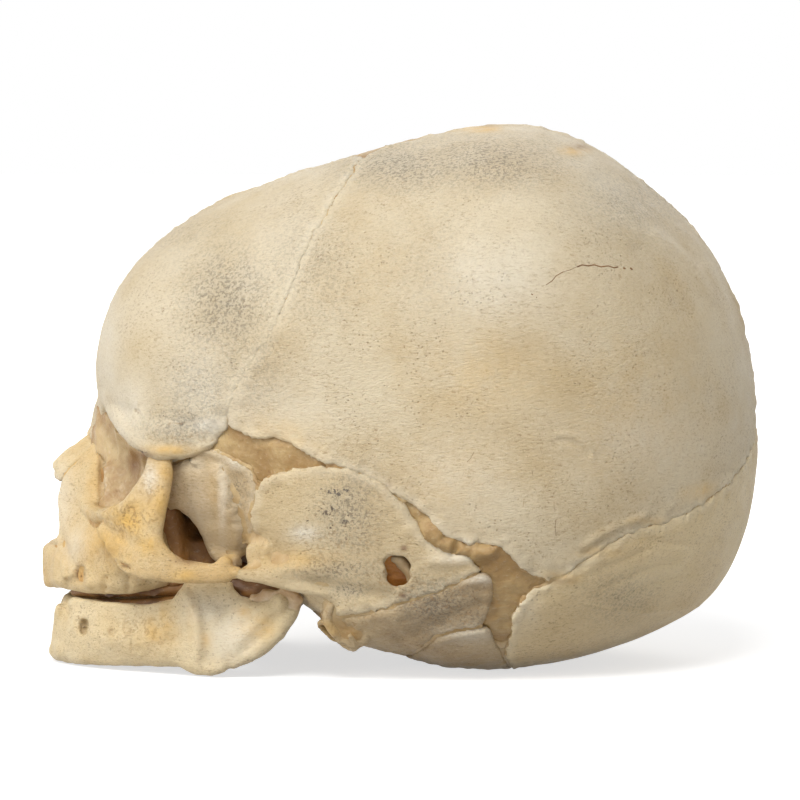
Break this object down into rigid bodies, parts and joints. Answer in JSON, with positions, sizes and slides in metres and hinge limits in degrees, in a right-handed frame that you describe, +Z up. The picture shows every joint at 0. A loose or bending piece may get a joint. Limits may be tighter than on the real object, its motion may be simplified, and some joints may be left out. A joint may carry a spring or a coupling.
{
  "type": "fetal skull",
  "caption": "Fetal skull of separate bone plates parted by open sutures and fontanelle membranes, with delicate facial bones and a lower jaw that swings on its condyles.",
  "frame": {"origin": "bottom centre of the bounding box, on the plane that the skull rests on", "axes": "+X towards the back of the head (the face looks to -X), +Y towards the skull's right side, +Z up to the crown"},
  "size_m": [0.1214, 0.0928, 0.091],
  "materials": {
    "vault_bone": "dry ivory bone",
    "face_bone": "dry yellowish bone",
    "base_bone": "dry greyish porous bone",
    "membrane": "dried brown membrane",
    "cartilage": "dried translucent cartilage"
  },
  "bodies": {
    "cranium": {"frontal_left": "vault_bone", "frontal_right": "vault_bone", "parietal_left": "vault_bone", "parietal_right": "vault_bone", "temporal_squama_left": "vault_bone", "temporal_squama_right": "vault_bone", "sphenoid_wing_left": "vault_bone", "sphenoid_wing_right": "vault_bone", "occipital_squama": "vault_bone", "petrous_left": "base_bone", "petrous_right": "base_bone", "exoccipital_left": "base_bone", "exoccipital_right": "base_bone", "tympanic_ring_left": "base_bone", "tympanic_ring_right": "base_bone", "basioccipital": "base_bone", "sphenoid_body": "base_bone", "nasal_left": "face_bone", "nasal_right": "face_bone", "maxilla_left": "face_bone", "maxilla_right": "face_bone", "zygomatic_left": "face_bone", "zygomatic_right": "face_bone", "lacrimal_left": "face_bone", "lacrimal_right": "face_bone", "palatine_left": "face_bone", "palatine_right": "face_bone", "concha_left": "face_bone", "concha_right": "face_bone", "ethmoid": "face_bone", "vomer": "face_bone", "sphenoid_fontanelle_left": "membrane", "sphenoid_fontanelle_right": "membrane", "mastoid_fontanelle_left": "membrane", "mastoid_fontanelle_right": "membrane", "anterior_fontanelle": "membrane", "posterior_fontanelle": "membrane"},
    "mandible": {"mandible_left": "face_bone", "mandible_right": "face_bone", "symphysis_cartilage": "cartilage"}
  },
  "joints": [
    {"name": "jaw_hinge", "type": "hinge", "parent": "cranium", "child": "mandible", "pos_m": [-0.01805, 0, 0.01301], "axis": [0, -1, 0], "range_deg": [0, 25]}
  ]
}
